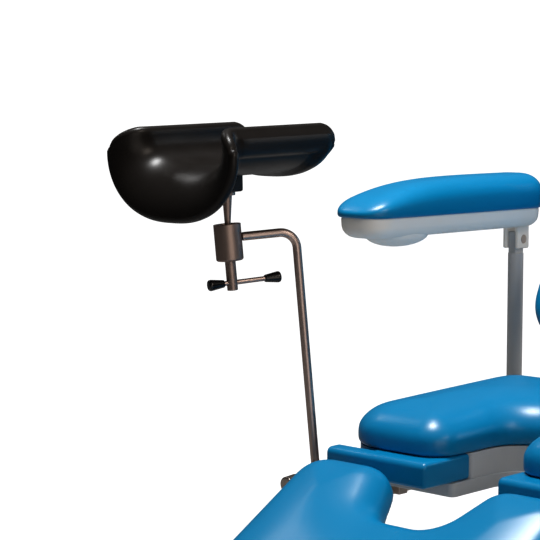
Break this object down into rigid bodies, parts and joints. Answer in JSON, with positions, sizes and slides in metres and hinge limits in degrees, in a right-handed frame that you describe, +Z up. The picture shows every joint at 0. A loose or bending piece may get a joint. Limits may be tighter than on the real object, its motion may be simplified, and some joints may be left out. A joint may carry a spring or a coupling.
{
  "type": "gynecological examination chair",
  "caption": "Padded examination chair on a lifting column with a reclining back, folding leg plate, armrests and adjustable knee crutches on ball clamps.",
  "frame": {"origin": "on the floor under the middle of the chair's box", "axes": "+Z up, -Y the way the patient faces, +X the patient's left"},
  "size_m": [1.103, 1.2813, 1.4432],
  "materials": {
    "blue_foam": "smooth moulded integral skin",
    "black_polyurethane": "satin moulded",
    "grey_plastic": "fine moulded grain",
    "painted_steel": "powder coat",
    "drive_housing": "dark powder coat",
    "natural_nylon": "moulded",
    "black_rubber": "matt",
    "stainless_steel": "polished"
  },
  "bodies": {
    "base": {"base_plate": "painted_steel", "base_cover": "grey_plastic", "foot_front_left": "black_rubber", "foot_front_right": "black_rubber", "foot_rear_left": "black_rubber", "foot_rear_right": "black_rubber", "column_outer": "painted_steel", "lift_drive_body": "drive_housing"},
    "lift": {"column_inner": "painted_steel", "lift_drive_rod": "stainless_steel", "seat_frame": "painted_steel", "seat_cushion": "blue_foam", "front_roll_left": "blue_foam", "front_roll_right": "blue_foam", "side_rail_left": "stainless_steel", "side_rail_right": "stainless_steel", "arm_post_left": "painted_steel", "arm_post_right": "painted_steel", "back_drive_tube": "drive_housing"},
    "back": {"back_frame": "painted_steel", "back_cushion": "blue_foam", "back_shell": "grey_plastic", "back_hinge_pin": "stainless_steel"},
    "back_rod": {"back_drive_rod": "stainless_steel"},
    "leg": {"leg_frame": "painted_steel", "leg_cushion": "blue_foam"},
    "arm_left": {"arm_pad_left": "blue_foam", "arm_shell_left": "grey_plastic", "arm_pin_left": "stainless_steel"},
    "rail_clamp_left": {"rail_clamp_left": "stainless_steel"},
    "rail_screw_left": {"rail_screw_left": "stainless_steel"},
    "bush_left": {"rod_bush_left": "natural_nylon"},
    "rod_left": {"leg_rod_left": "stainless_steel", "ball_clamp_left": "stainless_steel"},
    "cup_left": {"ball_cup_left": "natural_nylon"},
    "crutch_left": {"ball_pin_left": "stainless_steel", "crutch_left": "black_polyurethane"},
    "tee_left": {"clamp_screw_left": "stainless_steel"},
    "bar_left": {"clamp_bar_left": "stainless_steel", "bar_knob_front_left": "black_polyurethane", "bar_knob_rear_left": "black_polyurethane"},
    "arm_right": {"arm_pad_right": "blue_foam", "arm_shell_right": "grey_plastic", "arm_pin_right": "stainless_steel"},
    "rail_clamp_right": {"rail_clamp_right": "stainless_steel"},
    "rail_screw_right": {"rail_screw_right": "stainless_steel"},
    "bush_right": {"rod_bush_right": "natural_nylon"},
    "rod_right": {"leg_rod_right": "stainless_steel", "ball_clamp_right": "stainless_steel"},
    "cup_right": {"ball_cup_right": "natural_nylon"},
    "crutch_right": {"ball_pin_right": "stainless_steel", "crutch_right": "black_polyurethane"},
    "tee_right": {"clamp_screw_right": "stainless_steel"},
    "bar_right": {"clamp_bar_right": "stainless_steel", "bar_knob_front_right": "black_polyurethane", "bar_knob_rear_right": "black_polyurethane"}
  },
  "joints": [
    {"name": "lift_slide", "type": "slide", "parent": "base", "child": "lift", "axis": [0, 0, 1], "range_m": [-0.1, 0.15]},
    {"name": "back_recline", "type": "hinge", "parent": "lift", "child": "back", "pos_m": [0, 0.2468, 0.672], "axis": [-1, 0, 0], "range_deg": [-12, 50]},
    {"name": "back_drive_slide", "type": "slide", "parent": "lift", "child": "back_rod", "axis": [0, 1, 0], "range_m": [-0.07, 0.018]},
    {"name": "leg_fold", "type": "hinge", "parent": "lift", "child": "leg", "pos_m": [0, -0.2612, 0.674], "axis": [1, 0, 0], "range_deg": [-30, 55]},
    {"name": "arm_lift_left", "type": "hinge", "parent": "lift", "child": "arm_left", "pos_m": [0.345, 0.3448, 1.012], "axis": [-1, 0, 0], "range_deg": [0, 80]},
    {"name": "rail_slide_left", "type": "slide", "parent": "lift", "child": "rail_clamp_left", "axis": [0, 1, 0], "range_m": [-0.05, 0.09]},
    {"name": "rail_screw_turn_left", "type": "hinge", "parent": "rail_clamp_left", "child": "rail_screw_left", "pos_m": [0.32722, -0.20866, 0.66392], "axis": [-0.0037, -0.9978, -0.0662], "range_deg": [-180, 180]},
    {"name": "rod_swivel_left", "type": "hinge", "parent": "rail_clamp_left", "child": "bush_left", "pos_m": [0.326, -0.2072, 0.642], "axis": [0.0557, -0.0663, 0.9962], "range_deg": [-25, 50]},
    {"name": "rod_height_left", "type": "slide", "parent": "bush_left", "child": "rod_left", "axis": [0.0557, -0.0663, 0.9962], "range_m": [-0.02, 0.09]},
    {"name": "crutch_swivel_left", "type": "hinge", "parent": "rod_left", "child": "cup_left", "pos_m": [0.4124, -0.32215, 1.0501], "axis": [0.0557, -0.0663, 0.9962], "range_deg": [-30, 30]},
    {"name": "crutch_tilt_left", "type": "hinge", "parent": "cup_left", "child": "crutch_left", "pos_m": [0.4124, -0.32215, 1.0501], "axis": [1, -0.0037, -0.0001], "range_deg": [-15, 18]},
    {"name": "clamp_screw_turn_left", "type": "hinge", "parent": "rod_left", "child": "tee_left", "pos_m": [0.4124, -0.32215, 1.0501], "axis": [0.0557, -0.0663, 0.9962], "range_deg": [-180, 180]},
    {"name": "clamp_bar_slide_left", "type": "slide", "parent": "tee_left", "child": "bar_left", "axis": [-0.4027, 0.9115, 0.0832], "range_m": [-0.044, 0.004]},
    {"name": "arm_lift_right", "type": "hinge", "parent": "lift", "child": "arm_right", "pos_m": [-0.345, 0.3448, 1.012], "axis": [-1, 0, 0], "range_deg": [0, 80]},
    {"name": "rail_slide_right", "type": "slide", "parent": "lift", "child": "rail_clamp_right", "axis": [0, 1, 0], "range_m": [-0.05, 0.09]},
    {"name": "rail_screw_turn_right", "type": "hinge", "parent": "rail_clamp_right", "child": "rail_screw_right", "pos_m": [-0.32722, -0.20866, 0.66392], "axis": [0.0037, -0.9978, -0.0662], "range_deg": [-180, 180]},
    {"name": "rod_swivel_right", "type": "hinge", "parent": "rail_clamp_right", "child": "bush_right", "pos_m": [-0.326, -0.2072, 0.642], "axis": [0.0557, 0.0663, -0.9962], "range_deg": [-25, 50]},
    {"name": "rod_height_right", "type": "slide", "parent": "bush_right", "child": "rod_right", "axis": [-0.0557, -0.0663, 0.9962], "range_m": [-0.02, 0.09]},
    {"name": "crutch_swivel_right", "type": "hinge", "parent": "rod_right", "child": "cup_right", "pos_m": [-0.4124, -0.32215, 1.0501], "axis": [-0.0557, -0.0663, 0.9962], "range_deg": [-30, 30]},
    {"name": "crutch_tilt_right", "type": "hinge", "parent": "cup_right", "child": "crutch_right", "pos_m": [-0.4124, -0.32215, 1.0501], "axis": [1, 0.0037, 0.0001], "range_deg": [-15, 18]},
    {"name": "clamp_screw_turn_right", "type": "hinge", "parent": "rod_right", "child": "tee_right", "pos_m": [-0.4124, -0.32215, 1.0501], "axis": [-0.0557, -0.0663, 0.9962], "range_deg": [-180, 180]},
    {"name": "clamp_bar_slide_right", "type": "slide", "parent": "tee_right", "child": "bar_right", "axis": [0.4027, 0.9115, 0.0832], "range_m": [-0.044, 0.004]}
  ],
  "couplings": [
    {"joint": "back_drive_slide", "follows": "back_recline", "m_per_rad": -0.0779}
  ]
}
